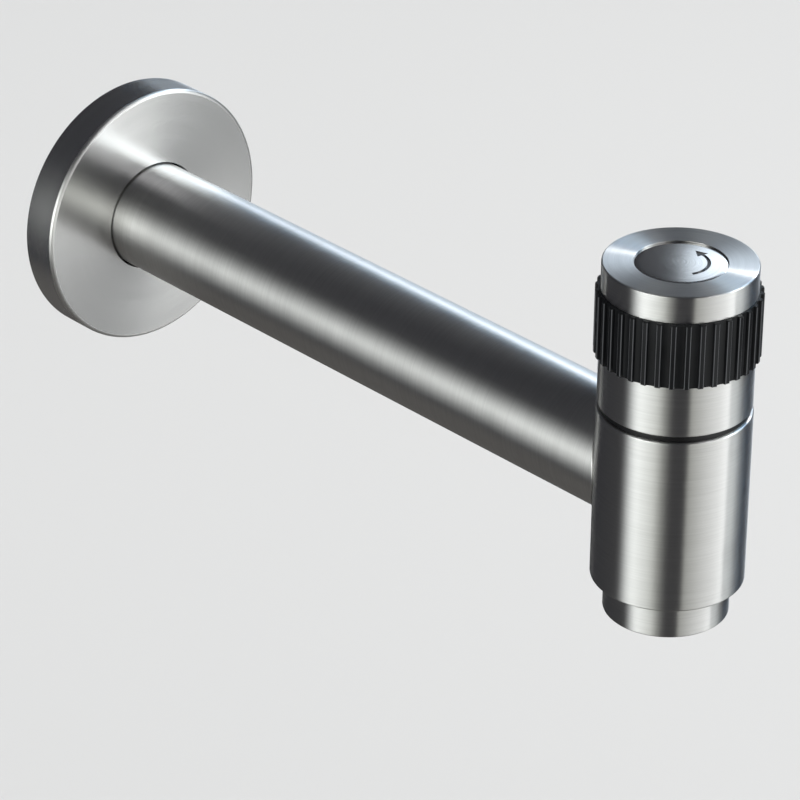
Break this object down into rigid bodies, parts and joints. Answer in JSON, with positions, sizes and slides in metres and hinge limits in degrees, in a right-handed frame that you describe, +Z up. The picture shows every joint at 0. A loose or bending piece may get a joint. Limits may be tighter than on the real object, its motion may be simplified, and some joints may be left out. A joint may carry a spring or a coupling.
{
  "type": "wall-mounted tap",
  "caption": "Long wall-mounted cold-water tap: round wall flange, level tube, upright head with a ribbed quarter-turn knob on top and an aerator below.",
  "frame": {"origin": "on the tube's axis, in the plane of the wall face, which is the flange's back and the start of the inlet thread", "axes": "+Y into the wall along the tube and inlet thread, -Y out of the wall towards the head, +Z up along the head's axis"},
  "size_m": [0.0608, 0.21, 0.08],
  "materials": {
    "brushed_steel": "brushed",
    "turned_steel": "fine turned",
    "smooth_steel": "smooth satin",
    "machined_steel": "machined",
    "black_rubber": "satin moulded",
    "black_plastic": "matte",
    "seal_rubber": "matte",
    "brass": "machined",
    "ceramic": "lapped",
    "white_plastic": "moulded"
  },
  "bodies": {
    "tap": {"inlet_nipple": "machined_steel", "spout_tube": "brushed_steel", "head_body": "brushed_steel", "slip_ring": "black_plastic", "cartridge_housing": "brass", "cartridge_gasket": "seal_rubber", "seat_seal": "seal_rubber", "fixed_ceramic_disc": "ceramic", "aerator_shell": "brushed_steel", "aerator_washer": "seal_rubber", "aerator_insert": "white_plastic", "aerator_screens": "machined_steel", "aerator_strainer": "white_plastic"},
    "knob": {"knob_shell": "turned_steel", "knob_grip_ring": "black_rubber", "knob_top_disc": "smooth_steel", "knob_screw": "machined_steel", "spline_bush": "white_plastic", "valve_spindle": "brass", "spindle_o_rings": "seal_rubber", "spindle_washer": "white_plastic", "spindle_clip": "machined_steel", "moving_ceramic_disc": "ceramic"},
    "flange": {"wall_flange": "brushed_steel", "flange_seal_ring": "seal_rubber"}
  },
  "joints": [
    {"name": "knob_turn", "type": "hinge", "parent": "tap", "child": "knob", "pos_m": [0, -0.175, 0], "axis": [0, 0, 1], "range_deg": [0, 90]},
    {"name": "flange_slide", "type": "slide", "parent": "tap", "child": "flange", "axis": [0, -1, 0], "range_m": [0, 0.145]}
  ]
}
